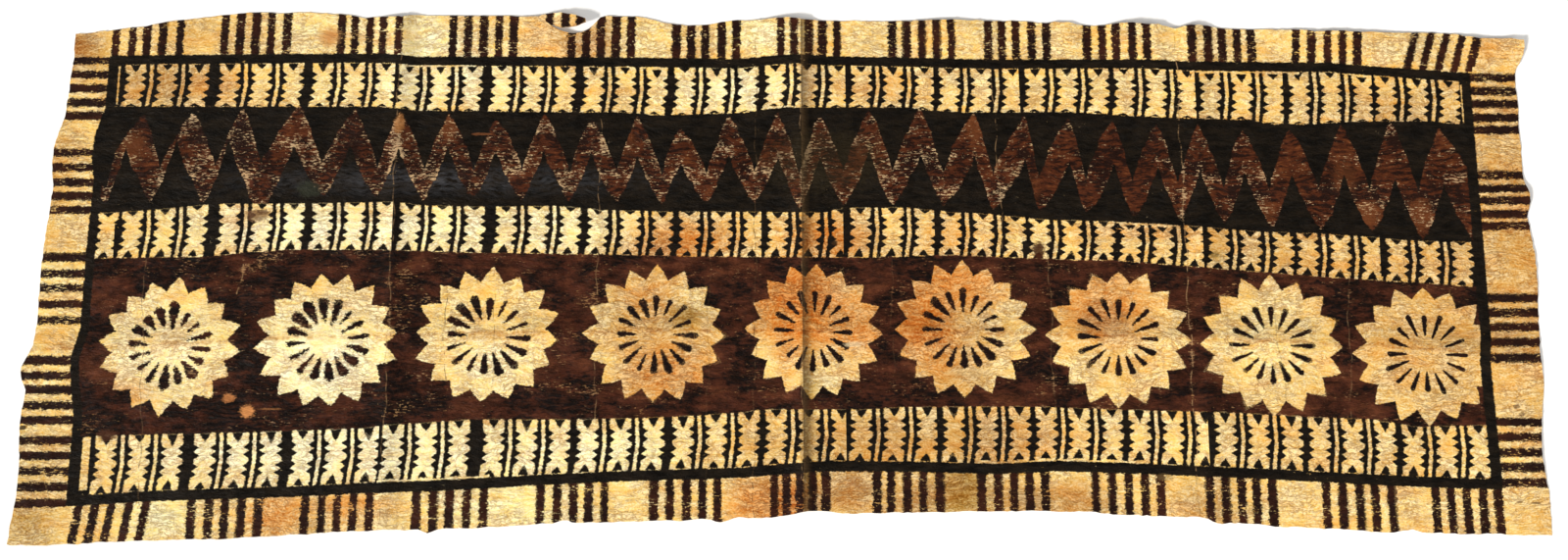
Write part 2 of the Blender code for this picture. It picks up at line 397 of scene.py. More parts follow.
# The zigzag: x of its far tips, how far the near tips lie right of half way, and y of both rows
zigzagTips = (
    -789, -729, -667, -599, -529, -474, -413, -354, -295, -237, -180, -127, -68, -7, 44, 105, 168, 234,
    297, 351, 405, 459, 510, 564, 622, 686, 748, 807,
)
zigzagLean = (
    (-780, -16), (-640, -6), (-560, 3), (-150, 4), (20, 0), (200, -6), (320, -13), (430, -6), (540, 1),
    (800, -2),
)
zigzagFar = (
    (-789, 202), (-667, 213), (-599, 216), (-529, 209), (-413, 205), (-354, 199), (-295, 205), (-237, 199),
    (-180, 202), (-127, 188), (-68, 203), (-7, 206), (44, 202), (105, 211), (168, 211), (234, 205),
    (351, 200), (459, 194), (564, 186), (622, 186), (686, 189), (748, 194), (807, 184),
)
zigzagNear = (
    (-828, 98), (-713, 96), (-638, 82), (-560, 105), (-448, 101), (-264, 100), (-203, 96), (-37, 96),
    (19, 88), (72, 96), (195, 93), (254, 90), (366, 83), (480, 75), (595, 66), (715, 59), (842, 44),
)
# Heights of the valleys and inner corners, as shares of the band between the two rows of tips
zigzagInner = (
    (
        (-832, 0.02), (-822, 0.45), (-790, 0.40), (-700, 0.39), (-646, 0.47), (-575, 0.36), (-400, 0.35),
        (0, 0.36), (300, 0.34), (790, 0.42), (830, 0.58)),
    (
        (-829, 0.62), (-729, 0.70), (-667, 0.69), (-599, 0.60), (-400, 0.60), (-200, 0.55), (0, 0.55),
        (300, 0.53), (600, 0.55), (800, 0.50)),
)
# How far right the valleys lie of the near tips, and the inner corners of the far tips
zigzagSlides = (
    ((-760, 8), (-700, 11), (-640, -4), (-560, -6), (-500, 0), (800, 0)),
    ((-789, -20), (-729, -18), (-667, -16), (-599, -3), (-529, -4), (-474, 0), (800, 0)),
)

# Star flowers, drawn at one reach and sized after it: middle, half width, half height,
# turn in petals, width of the seeds beside the usual one
flowerReach = 85.0
starFlowers = (
    (-738, -80, 84, 80, 0.2, 1.35), (-550, -73, 84, 80, -0.3, 1.35), (-357, -68, 86, 80, 0.15, 1.1),
    (-155, -66, 84, 81, 0.05, 1.0), (36, -62, 80, 81, 0.1, 1.0), (216, -60, 83, 81, 0.0, 1.05),
    (402, -70, 85, 82, 0.1, 0.95), (586, -79, 86, 82, 0.05, 0.9), (770, -90, 86, 82, 0.05, 0.8),
)

# Stripes printed round the border, five at a time: middle of the first and the last at their outer
# ends, and how far left (or towards the camera) they lie at the frame line; the reach is their length
borderStripes = {
    "far": (
        (-831, -753, 0), (-696, -619, 0), (-551, -481, 0), (-412.5, -336, 0), (-265, -190, 0),
        (-134, -60, 0), (-4, 65, 0), (134.5, 208, 0), (253, 325.5, 0), (376, 451, 0), (508, 582, 0),
        (638, 713.6, 2), (782, 858.5, 9)),
    "near": (
        (-836, -757, -4.5), (-699, -619, 0), (-565.5, -488, 0), (-434, -354, 0), (-287.5, -211, 0),
        (-154, -78, 0), (-12.5, 49, 0), (109, 184, 0), (234, 309, 0), (369, 445.5, 0), (503, 577, 0),
        (641, 717, 0), (769, 844, 0)),
    "left": ((275, 203, 0), (157, 86, 0), (27, -48, 0), (-97, -168, 0), (-192, -266, 0)),
    "right": ((252, 185.5, 0), (129, 66, 0), (-22, -94, 0), (-170, -241, 0)),
}
stripeReach = 30


def frameEdges(x, y):
    # distances inward from the four outer edges of the frame line
    return {
        "far": knotted(bandLines["frameFar"], x) - y,
        "near": y - knotted(bandLines["frameNear"], x),
        "left": x - knotted(frameSides["left"], y),
        "right": knotted(frameSides["right"], y) - x,
    }


def bandDistances(x, y):
    inward = frameEdges(x, y)
    inFrame = np.minimum.reduce([inward[side] for side in inward])
    inPanel = np.minimum.reduce([inward[side] - frameWidth[side] for side in inward])
    upper = [y - knotted(bandLines[name], x) for name in ("strip1Near", "strip2Far", "strip2Near")]
    lower = [y - knotted(bandLines["strip3Far"], x), inFrame, inPanel]
    return np.stack(upper, axis=1), np.stack(lower, axis=1)


def stencilPlaces(x, y, faceX, faceY):
    middleBand = 0.5 * (knotted(bandLines["strip1Near"], faceX) + knotted(bandLines["strip2Far"], faceX))
    flowerBand = 0.5 * (knotted(bandLines["strip2Near"], faceX) + knotted(bandLines["strip3Far"], faceX))
    strip = np.where(faceY > middleBand, 0, np.where(faceY > flowerBand, 1, 2))
    place, sort, rims = np.zeros((len(x), 3)), np.zeros((len(x), 3)), np.zeros((len(x), 3))
    for number, first, last, atFar in stencilRims:
        rims[(strip == number) & (faceX > first) & (faceX < last), 0 if atFar else 1] = rimWidth
    for number, prints in enumerate(stencilPrints):
        mine = strip == number
        starts = np.array(prints["starts"], float)
        laid = np.clip(np.searchsorted(starts - printStart, faceX[mine], side="right") - 1, 0, None)
        farLine = knotted(bandLines[prints["far"]], x[mine])
        nearLine = knotted(bandLines[prints["near"]], x[mine])
        if prints["far"] == "frameFar":
            farLine = farLine - frameWidth["far"]
        if prints["near"] == "frameNear":
            nearLine = nearLine + frameWidth["near"]
        place[mine] = np.stack([x[mine] - starts[laid], y[mine] - nearLine, farLine - y[mine]], axis=1)
        rims[mine, 2] = prints["teeth"]
        sort[mine, :2] = prints["notches"]
        sort[mine, 2] = laid * 3.0 + number * 50.0
    return place, sort, rims


def zigzagPlaces(x, y):
    tips = np.array(zigzagTips, float)
    between = 0.5 * (tips[1:] + tips[:-1]) + knotted(zigzagLean, 0.5 * (tips[1:] + tips[:-1]))
    valleys, corners = between + knotted(zigzagSlides[0], between), tips + knotted(zigzagSlides[1], tips)
    counts = []
    for halves, wholes in ((valleys, tips), (between, corners)):
        knots = np.sort(np.concatenate([[-872.0, -828.0], halves, wholes, [842.0, 885.0]]))
        counts.append(np.interp(x, knots, np.arange(len(knots)) * 0.5 - 1.0))
    low, high = knotted(zigzagNear, x), knotted(zigzagFar, x)
    place = np.stack([counts[0], (y - low) / (high - low), high - low], axis=1)
    return place, np.stack([*(knotted(heights, x) for heights in zigzagInner), counts[1]], axis=1)


def flowerPlaces(x, y, faceX):
    # which flower a face belongs to; the last value is the distance from the crease along the flowers
    flowers = np.array(starFlowers, float)
    nearest = np.abs(faceX[:, None] - flowers[None, :, 0]).argmin(axis=1)
    chosen = flowers[nearest]
    grown = flowerReach / chosen[:, 2:4]
    place = [(x - chosen[:, 0]) * grown[:, 0], (y - chosen[:, 1]) * grown[:, 1], nearest * 1.0]
    offCrease = y - bent(longCreases[0][0], x)
    return np.stack(place, axis=1), np.stack([chosen[:, 4], chosen[:, 5], offCrease], axis=1)


def stripePlaces(x, y, faceX, faceY):
    inward = frameEdges(faceX, faceY)
    names = ("far", "near", "left", "right")
    side = np.stack([inward[name] for name in names], axis=1).argmin(axis=1)
    corner = frameEdges(x, y)
    place = np.zeros((len(x), 3))
    for number, name in enumerate(names):
        mine = side == number
        alongHere, alongFace = (x, faceX) if name in ("far", "near") else (y, faceY)
        groups = np.array(borderStripes[name], float)
        nearest = np.abs(alongFace[mine, None] - groups[None, :, :2].mean(axis=2)).argmin(axis=1)
        first, last, lean = groups[nearest].T
        pitch = (last - first) / 4.0
        leaning = alongHere[mine] + lean * (corner[name][mine] / stripeReach + 1.0)
        place[mine] = np.stack([(leaning - first) / pitch, np.abs(pitch), nearest + 20.0 * number], axis=1)
    farEdge = sheet["far"] + edgeOut("far", faceX) - tearDepth(faceX)
    left, right = tongue["printed"]
    onTongue = (faceY > farEdge - 1.0) & (faceX > left) & (faceX < right)
    first, last = tongue["stripes"]
    pitch = (last - first) / 4.0
    place[onTongue] = np.stack([(x - first) / pitch, x * 0.0 + pitch, x * 0.0 + 99.0], axis=1)[onTongue]
    return place


# Colours of the bark, and its soft changes, one over the other: middle, reach, colour, strength; some of the
# changes are painted light and shade
barkAndLightColours = {
    "cream": (0.92, 0.71, 0.34), "pale": (0.97, 0.88, 0.51), "yellow": (0.94, 0.79, 0.41),
    "tan": (0.63, 0.385, 0.150), "orange": (0.68, 0.30, 0.076), "rust": (0.38, 0.115, 0.026),
    "olive": (0.38, 0.225, 0.055), "brown": (0.44, 0.20, 0.056), "paintedFlankShade": (0.66, 0.55, 0.32),
    "paintedLight": (1.0, 0.95, 0.68),
}
# The white tones, and the pale ones over the left half, are painted light where the left of the sheet is lit
# brightest; the broad tan over the right end is partly painted shade.
barkTonesAndLight = (
    (950, 60, 300, 420, "tan", 0.85), (640, 0, 330, 420, "tan", 0.35), (-905, 120, 60, 120, "tan", 0.75),
    (-905, -240, 80, 120, "tan", 0.5), (-905, 20, 70, 90, "yellow", 0.7),
    (-560, -120, 250, 130, "pale", 0.8), (-740, -60, 110, 70, "yellow", 0.6),
    (-420, 250, 200, 60, "pale", 0.7), (-440, 300, 60, 60, "pale", 0.9),
    (-460, -210, 420, 60, "pale", 0.75), (-735, -275, 75, 70, "pale", 0.95),
    (-350, 65, 320, 45, "pale", 0.9), (-600, 65, 60, 50, "pale", 0.8), (-740, 65, 110, 50, "yellow", 0.6),
    (-70, 240, 110, 45, "pale", 0.9), (-30, 310, 80, 50, "pale", 0.75), (-570, 245, 60, 50, "yellow", 0.6),
    (-200, -210, 150, 60, "pale", 0.8), (-590, 310, 80, 40, "pale", 0.6),
    (-190, 305, 60, 40, "yellow", 0.7), (-340, -90, 90, 90, "yellow", 0.5),
    (-155, -65, 130, 125, "tan", 0.7), (-135, -115, 110, 60, "orange", 0.75),
    (-155, -20, 80, 50, "orange", 0.35), (-110, -25, 50, 40, "yellow", 0.5),
    (-215, -90, 45, 50, "yellow", 0.5), (25, -45, 130, 120, "orange", 0.95),
    (10, -15, 90, 60, "orange", 0.9), (20, -15, 70, 40, "rust", 0.4), (90, -60, 50, 40, "orange", 0.6),
    (45, -110, 50, 50, "yellow", 0.8), (-22, -98, 26, 45, "yellow", 0.8),
    (180, -45, 120, 125, "orange", 0.95), (215, -5, 90, 45, "orange", 0.8),
    (150, -60, 50, 70, "rust", 0.25), (245, -70, 60, 70, "yellow", 0.5), (200, -125, 80, 40, "tan", 0.6),
    (215, -50, 30, 60, "yellow", 0.5), (380, -30, 110, 80, "orange", 0.75),
    (385, -50, 45, 30, "rust", 0.45), (400, -100, 60, 40, "yellow", 0.3),
    (-120, 50, 120, 42, "orange", 0.85), (-150, 35, 70, 22, "rust", 0.55), (50, 55, 90, 45, "orange", 0.9),
    (70, 40, 60, 30, "rust", 0.3), (210, 60, 90, 40, "orange", 0.4), (-20, -265, 80, 60, "orange", 0.9),
    (20, -260, 60, 40, "rust", 0.6), (80, -250, 55, 50, "brown", 0.8), (-600, -280, 60, 45, "orange", 0.8),
    (-520, -270, 90, 40, "orange", 0.5), (-565, 305, 22, 20, "orange", 0.7),
    (210, -255, 75, 50, "olive", 0.85), (340, -265, 90, 45, "brown", 0.6),
    (110, -195, 170, 60, "tan", 0.8), (250, -195, 110, 60, "brown", 0.6),
    (310, -190, 70, 45, "orange", 0.4), (-890, 290, 75, 55, "brown", 0.95),
    (-770, 245, 120, 50, "brown", 0.6), (-700, 245, 60, 40, "orange", 0.5),
    (-885, 45, 50, 30, "orange", 0.3), (-890, -290, 60, 36, "olive", 0.35),
    # The grey tones near x -464 are painted shade on the right flank of the crease at -477.
    (-300, 310, 60, 50, "orange", 0.4), (-240, 300, 60, 60, "rust", 0.5), (-464, 290, 22, 60, "paintedFlankShade", 0.6),
    # The tan, olive and brown strips at x 28 to 30 are painted shade and dirt on the right flank of the
    # middle crease.
    (-465, 240, 20, 50, "paintedFlankShade", 0.4), (30, 245, 18, 60, "tan", 0.9), (28, -180, 12, 160, "olive", 0.7),
    (28, 55, 12, 50, "brown", 0.8), (-118, -42, 34, 22, "olive", 0.8), (213, -237, 45, 25, "olive", 0.5),
    (523, 31, 16, 12, "olive", 0.6), (440, 60, 160, 18, "orange", 0.55), (475, 245, 25, 60, "yellow", 0.9),
    (620, 15, 120, 30, "tan", 0.4), (586, -75, 100, 100, "yellow", 0.7),
    (480, -200, 60, 50, "yellow", 0.4), (490, -270, 90, 50, "tan", 0.7), (770, -90, 120, 110, "tan", 0.45),
    (-740, 310, 90, 40, "tan", 0.45), (-330, -272, 130, 60, "pale", 0.9),
    (-560, 62, 280, 55, "paintedLight", 0.75), (-300, 60, 160, 45, "paintedLight", 0.4),
    (-540, -205, 340, 65, "paintedLight", 0.8), (-240, -200, 150, 55, "paintedLight", 0.5),
    (-560, -95, 120, 110, "paintedLight", 0.75), (-745, -85, 110, 100, "paintedLight", 0.5),
    (-350, -100, 90, 60, "paintedLight", 0.4), (-420, 245, 200, 50, "paintedLight", 0.4),
    (-60, 238, 150, 45, "paintedLight", 0.5), (-470, 300, 120, 50, "paintedLight", 0.35),
    (930, -290, 110, 70, "tan", 0.6), (330, -210, 160, 50, "yellow", 0.2),
    (120, 240, 90, 40, "orange", 0.35), (-120, 65, 90, 40, "tan", 0.2), (880, 310, 40, 40, "orange", 0.35),
    (740, 210, 100, 40, "brown", 0.35), (-30, -190, 60, 45, "tan", 0.5),
    (-655, -125, 60, 30, "orange", 0.4), (-790, -140, 60, 30, "orange", 0.5),
    (-357, -68, 60, 14, "tan", 0.6), (820, -200, 60, 60, "yellow", 0.4),
    (560, -270, 70, 35, "yellow", 0.3), (150, -264, 60, 50, "brown", 0.6),
    (278, -266, 55, 48, "brown", 0.55), (222, -70, 80, 80, "brown", 0.35),
    (392, -80, 85, 80, "brown", 0.2), (-905, -205, 60, 70, "yellow", 0.5),
    (560, 55, 120, 50, "brown", 0.2),
)


def barkToneAndLight(x, y):
    # the bark's own tones mixed with the painted light and shade of the table
    tone = np.tile(np.array(barkAndLightColours["cream"]), (len(x), 1))
    for atX, atY, wide, deep, colour, strength in barkTonesAndLight:
        share = strength * bell(np.hypot((x - atX) / wide, (y - atY) / deep), 1.0)[:, None]
        tone = tone * (1.0 - share) + np.array(barkAndLightColours[colour]) * share
    return tone


# How rubbed the zigzag is and how much browner the flowers' ground is: x, amount
zigzagWear = (
    (-820, 0.32), (-720, 0.40), (-560, 0.38), (-420, 0.38), (-300, 0.36), (0, 0.38), (200, 0.38),
    (330, 0.26), (440, 0.14), (520, 0.38), (640, 0.24), (800, 0.30),
)
groundBrown = (
    (-830, -0.02), (-640, -0.05), (-500, -0.03), (-400, 0.0), (-100, 0.02), (100, -0.01), (300, 0.02),
    (600, 0.01), (800, -0.02),
)


def creasePlaces(x, y):
    # distance from the nearest crease across, then the two amounts above
    across = np.full(len(x), 999.0)
    for crease in crossCreases:
        offset = x - crestPlace(crease, y)
        across = np.where(np.abs(offset) < np.abs(across), offset, across)
    return np.stack([across, knotted(zigzagWear, x), knotted(groundBrown, x)], axis=1)


# Fine cracks: x at the far and near end, y of both ends, how pale and how dark they show
cracks = (
    (21, 22, 330, -235, 0.6, 0.3), (257, 266, 262, 40, 0.6, 0.3), (487, 489, 325, -290, 0.9, 0.5),
    (-34, -36, 300, -284, 0.15, 0.9), (-409, -406, 0, -150, 0.0, 0.9), (-348, -349, -5, -170, 0.0, 0.6),
    (-225, -226, 200, -170, 0.5, 0.3), (321, 322, 60, -170, 0.35, 0.6), (683, 676, 20, -170, 0.4, 0.5),
    (-776, -760, 30, -270, 0.3, 0.8), (-477, -476, 330, -290, 0.55, 0.5), (130, 131, 30, -150, 0.1, 0.5),
    (-655, -662, 20, -20, 0.9, 0.0), (-90, -92, 30, -240, 0.1, 0.4), (590, 600, -20, -160, 0.0, 0.6),
)


def crackX(crack, y):
    far, near, top, foot = crack[:4]
    return near + (far - near) * np.clip((y - foot) / (top - foot), 0.0, 1.0)


def crackPlaces(x, y, faceX, faceY):
    # distance from the crack that is nearest to the face, and how pale and how dark that one shows
    best = np.full(len(x), 999.0)
    place = np.zeros((len(x), 3))
    place[:, 0] = 99.0
    for crack in cracks:
        far, near, top, foot, pale, dark = crack
        away = np.abs(faceX - crackX(crack, faceY))
        nearer = (away < best) & (faceY < top) & (faceY > foot)
        best = np.where(nearer, away, best)
        wander = 1.6 * np.sin(y / 17.0 + far) + 0.8 * np.sin(y / 5.3 + near)
        here = np.stack([x - crackX(crack, y) + wander, x * 0.0 + pale, x * 0.0 + dark], axis=1)
        place = np.where(nearer[:, None], here, place)
    return place


def keepVector(mesh, name, values, domain):
    layer = mesh.attributes.new(name, "FLOAT_VECTOR", domain)
    layer.data.foreach_set("vector", oneRow(values))


def bakeMap(mesh, topCorner, x, y):
    # the face in two halves above each other, the underside and rim on end beside them
    layer = mesh.uv_layers.new(name="OFBake")
    wide, deep = cadHigh.x - cadLow.x, cadHigh.y - cadLow.y
    pad = 0.012
    size = 1.0 / (2.0 * (deep + 2 * pad))
    u = np.where(x < 0, x + 0.5 * wide, x) + pad
    v = y + 0.5 * deep + pad + np.where(x < 0, deep + 2 * pad, 0.0)
    left = (0.5 * wide + 2 * pad) * size
    narrow = (1.0 - left) / (deep + 2 * pad)
    otherU = left + (y + 0.5 * deep + pad) * narrow
    otherV = (x + 0.5 * wide + pad) * (1.0 / (wide + 2 * pad))
    other = np.stack([otherU, otherV], axis=1)
    values = np.where(topCorner[:, None], np.stack([u, v], axis=1) * size, other)
    layer.data.foreach_set("uv", oneRow(values))


def writeLayout(piece):
    mesh = piece.data
    co = readOff(mesh.vertices, "co").astype(float)
    isTop = readOff(mesh.polygons, "normal")[:, 2] > 0.3
    centres = readOff(mesh.polygons, "center") / mm
    corners = readOff(mesh.loops, "vertex_index", 1)
    sides = readOff(mesh.polygons, "loop_total", 1)
    seen = np.stack(towardCamera(*(co / mm).T, -1), axis=1)
    mesh.polygons.foreach_set("material_index", np.where(isTop, 0, 1).astype(np.int32))
    faceX, faceY = (np.repeat(values, sides) for values in towardCamera(*centres.T, -1))
    x, y = seen[corners].T
    layers = dict(zip(("bandsUpper", "bandsLower"), bandDistances(x, y)))
    layers |= zip(("stencilPlace", "stencilSort", "stencilRims"), stencilPlaces(x, y, faceX, faceY))
    layers |= zip(("zigzagPlace", "zigzagInner"), zigzagPlaces(x, y))
    layers |= zip(("flowerPlace", "flowerSort"), flowerPlaces(x, y, faceX))
    layers["crackPlace"] = crackPlaces(x, y, faceX, faceY)
    layers["stripePlace"] = stripePlaces(x, y, faceX, faceY)
    for name, values in layers.items():
        keepVector(mesh, name, values, "CORNER")
    keepVector(mesh, "sheetPlace", np.column_stack([seen, seen[:, 0] * 0.0]), "POINT")
    keepVector(mesh, "barkToneAndLight", barkToneAndLight(*seen.T), "POINT")
    keepVector(mesh, "creasePlace", creasePlaces(*seen.T), "POINT")
    co[:, :2] -= boxMiddle * mm
    placed(mesh, co)
    bakeMap(mesh, np.repeat(isTop, sides), co[corners, 0], co[corners, 1])


writeLayout(cloth)
bpy.ops.object.shade_smooth_by_angle(angle=math.radians(50))
print("print laid out")


# Small helpers for shader nodes. Those without a tree work in the one that their sockets belong to
def addNode(tree, kind, inputs=None, **settings):
    node = tree.nodes.new(kind)
    for name, value in settings.items():
        setattr(node, name, value)
    for key, value in (inputs or {}).items():
        if isinstance(value, bpy.types.NodeSocket):
            tree.links.new(value, node.inputs[key])
        else:
            node.inputs[key].default_value = value
    return node


def joinNode(kind, inputs, **settings):
    tree = next(value.id_data for value in inputs.values() if isinstance(value, bpy.types.NodeSocket))
    return addNode(tree, kind, inputs, **settings).outputs


def send(value, socket):
    value.id_data.links.new(value, socket)


def calc(operation, *values, clamp=False):
    return joinNode("ShaderNodeMath", dict(enumerate(values)), operation=operation, use_clamp=clamp)[0]


plus, minus, times, divided = (partial(calc, name) for name in ("ADD", "SUBTRACT", "MULTIPLY", "DIVIDE"))
timesPlus, larger, smaller = (partial(calc, name) for name in ("MULTIPLY_ADD", "MAXIMUM", "MINIMUM"))
unsigned, whole, raised = (partial(calc, name) for name in ("ABSOLUTE", "ROUND", "POWER"))


def no(mask, clamp=False):
    return minus(1.0, mask, clamp=clamp)


def both(*masks):
    return reduce(times, masks)


def nearness(distance, reach):
    # 1 where the distance is nothing, falling to 0 at the reach
    return no(divided(unsigned(distance), reach), clamp=True)


def backAndForth(count):
    # 0 at whole numbers and 1 half way between them
    return times(calc("PINGPONG", count, 0.5), 2.0)


def clamped(value, low, high):
    return larger(smaller(value, high), low)


def hypotenuse(a, b):
    return calc("SQRT", plus(times(a, a), times(b, b)))


def vectorMath(operation, *values, output=0):
    return joinNode("ShaderNodeVectorMath", dict(enumerate(values)), operation=operation)[output]


def noiseOf(vector, scale, detail, rough, output="Fac"):
    values = {"Vector": vector, "Scale": scale, "Detail": detail, "Roughness": rough}
    return joinNode("ShaderNodeTexNoise", values)[output]


def grain(vector, wide, deep, detail, rough):
    # noise with its own scale along and across the sheet
    return noiseOf(vectorMath("MULTIPLY", vector, (wide, deep, 1.0)), 1.0, detail, rough)


def chanceOf(value):
    return joinNode("ShaderNodeTexWhiteNoise", {"W": value}, noise_dimensions="1D")["Value"]


def split(vector):
    return joinNode("ShaderNodeSeparateXYZ", {0: vector})


def attribute(tree, name):
    return addNode(tree, "ShaderNodeAttribute", attribute_name=name).outputs["Vector"]


def soft(distance, width=0.9):
    # 1 where distance is positive, 0 where negative, over a narrow soft edge
    return timesPlus(distance, 1.0 / width, 0.5, clamp=True)


def rangeOf(value, low, high, newLow=0.0, newHigh=1.0):
    values = {"Value": value, "From Min": low, "From Max": high, "To Min": newLow, "To Max": newHigh}
    return joinNode("ShaderNodeMapRange", values)["Result"]


def mixed(factor, first, second, blend="MIX"):
    inputs = {0: factor, 6: first, 7: second}
    return joinNode("ShaderNodeMix", inputs, data_type="RGBA", blend_type=blend, clamp_factor=True)[2]


def newGroup(name, inputs, outputs):
    # labels of each kind of socket: vectors, colours and numbers
    group = bpy.data.node_groups.new(name, "ShaderNodeTree")
    for direction, kinds in (("INPUT", inputs), ("OUTPUT", outputs)):
        for kind, labels in kinds.items():
            for label in labels.split():
                group.interface.new_socket(label, in_out=direction, socket_type="NodeSocket" + kind)
    return group, group.nodes.new("NodeGroupInput").outputs, group.nodes.new("NodeGroupOutput").inputs


def useGroup(group, inputs):
    return joinNode("ShaderNodeGroup", inputs, node_tree=group)


def newMaterial(name):
    material = bpy.data.materials.new(name)
    material.use_nodes = True
    return material, material.node_tree, material.node_tree.nodes["Principled BSDF"]


def stencilGroup():
    # pale blocks with two teeth cut in above and below the middle of each side, their ends notched,
    # and a thin bar between two blocks; the whole print bends a little
    size = {"half": 12.5, "tooth": 6.0, "toothReach": 4.0, "inner": 6.6, "outer": 15.5, "notchHalf": 6.4,
            "bar": 2.1, "bulge": 1.2, "lean": 2.8}
    group, entry, leave = newGroup("toothed stencil", {"Vector": "Place Sort Rims", "Float": "Rag"},
                                   {"Float": "Mask"})
    x, below, above = split(entry["Place"])
    farNotch, nearNotch, number = split(entry["Sort"])
    farRim, nearRim, slide = split(entry["Rims"])
    deep = plus(below, above)
    share = divided(below, deep)
    bow = times(calc("PINGPONG", share, 0.5), size["bulge"] * 2.0)
    lean = larger(0.0, timesPlus(share, -2.0 * size["lean"], size["lean"]))
    x = plus(minus(x, bow), lean)
    block = clamped(whole(divided(x, stencilPitch)), 0.0, 2.0)
    off = unsigned(minus(x, times(block, stencilPitch)))
    middle = unsigned(minus(below, timesPlus(deep, 0.5, slide)))
    toTooth = smaller(unsigned(minus(middle, size["inner"])), unsigned(minus(middle, size["outer"])))
    tooth = no(divided(toTooth, size["toothReach"]), clamp=True)
    side = times(minus(size["half"], timesPlus(tooth, size["tooth"], off)), 0.8)
    uneven = timesPlus(chanceOf(plus(block, number)), 0.6, 0.7)
    notches, rimLines = [], []
    for reach, depth, rim in ((above, farNotch, farRim), (below, nearNotch, nearRim)):
        past = minus(reach, rim)
        left = no(divided(past, times(depth, uneven)))
        wide = times(times(left, timesPlus(left, -0.45, 1.45)), size["notchHalf"])
        notches.append(larger(minus(off, wide), times(past, -1.0)))
        half = times(rim, 0.25)
        line = minus(half, unsigned(minus(reach, half)))
        rimLines.append(minus(line, timesPlus(rim, -4.0, 8.0, clamp=True)))
    pale = larger(smaller(side, smaller(*notches)), larger(*rimLines))
    bar = minus(size["bar"], unsigned(minus(calc("MODULO", x, stencilPitch), 0.5 * stencilPitch)))
    bar = smaller(bar, smaller(x, minus(2.0 * stencilPitch, x)))
    send(soft(plus(larger(pale, bar), entry["Rag"])), leave["Mask"])
    return group


def zigzagGroup():
    # one broad line up and down; its tips bulge like flames
    bulge, steepness = 1.35, 0.42
    group, entry, leave = newGroup("zigzag", {"Vector": "Place Inner", "Float": "Rag"},
                                   {"Float": "Mask Edge"})
    count, share, deep = split(entry["Place"])
    farInner, nearInner, nearCount = split(entry["Inner"])
    fall = raised(backAndForth(count), bulge)
    climb = raised(no(backAndForth(nearCount)), bulge)
    farLine = no(times(no(farInner), fall))
    inside = smaller(minus(farLine, share), minus(share, times(nearInner, climb)))
    shape = times(inside, times(deep, steepness))
    send(soft(plus(shape, entry["Rag"])), leave["Mask"])
    send(shape, leave["Edge"])
    return group


def flowerGroup():
    # sixteen pointed petals round sixteen club-shaped seeds
    size = {"petals": 16.0, "tip": 87.0, "valley": 69.5, "seedIn": 24.5, "seedOut": 47.5,
            "thin": 1.0, "thick": 4.0}
    group, entry, leave = newGroup("star flower", {"Vector": "Place Sort", "Float": "Rag"},
                                   {"Float": "Petals Seeds"})
    x, y, number = split(entry["Place"])
    turned, fatness, _ = split(entry["Sort"])
    away = hypotenuse(x, y)
    turn = divided(calc("ARCTAN2", y, x), 2.0 * math.pi)
    petal = timesPlus(turn, size["petals"], turned)
    seed = whole(petal)

    def ringChance(scale):
        # the same for the whole petal or seed; the ring closes on itself
        return chanceOf(timesPlus(number, scale, whole(calc("WRAP", seed, size["petals"], 0.0))))

    tip = timesPlus(ringChance(31.0), -7.0, size["tip"] + 2.5)
    rim = plus(tip, times(backAndForth(petal), minus(size["valley"], tip)))
    shape = times(minus(rim, away), 0.7)
    send(soft(timesPlus(entry["Rag"], fatness, shape)), leave["Petals"])
    chance = ringChance(17.0)
    aside = times(times(unsigned(minus(petal, seed)), 2.0 * math.pi / size["petals"]), away)
    inner = timesPlus(chance, 7.0, size["seedIn"] - 3.0)
    outer = timesPlus(ringChance(23.0), -8.0, size["seedOut"] + 3.0)
    seedLong = minus(outer, inner)
    share = divided(minus(away, inner), seedLong, clamp=True)
    gap = hypotenuse(aside, minus(away, timesPlus(share, seedLong, inner)))
    # seeds are fatter on one side of the flower, more so where they are fat at all
    swing = calc("COSINE", timesPlus(turn, 4.0 * math.pi, -1.36 * math.pi))
    swing = times(swing, timesPlus(fatness, 0.5, -0.28))
    thick = times(timesPlus(chance, -1.6, size["thick"] + 0.6), fatness)
    thick = timesPlus(thick, swing, thick)
    half = timesPlus(raised(share, 0.7), minus(thick, size["thin"]), size["thin"])
    lumpy = times(entry["Rag"], timesPlus(fatness, 2.8, -1.5))
    send(soft(plus(minus(half, gap), lumpy)), leave["Seeds"])
    return group


def stripeGroup():
    # five stripes; each stands a little off its place and has its own width
    group, entry, leave = newGroup("border stripes", {"Vector": "Place", "Float": "Rag"}, {"Float": "Mask"})
    count, pitch, number = split(entry["Place"])
    nearest = clamped(whole(count), 0.0, 4.0)
    chance = chanceOf(timesPlus(number, 7.0, nearest))
    nudge = timesPlus(chance, 2.4, -1.2)
    wide = timesPlus(calc("FRACT", times(chance, 7.3)), 1.1, 4.75)
    off = unsigned(plus(times(minus(count, nearest), pitch), nudge))
    send(soft(plus(minus(wide, off), entry["Rag"])), leave["Mask"])
    return group


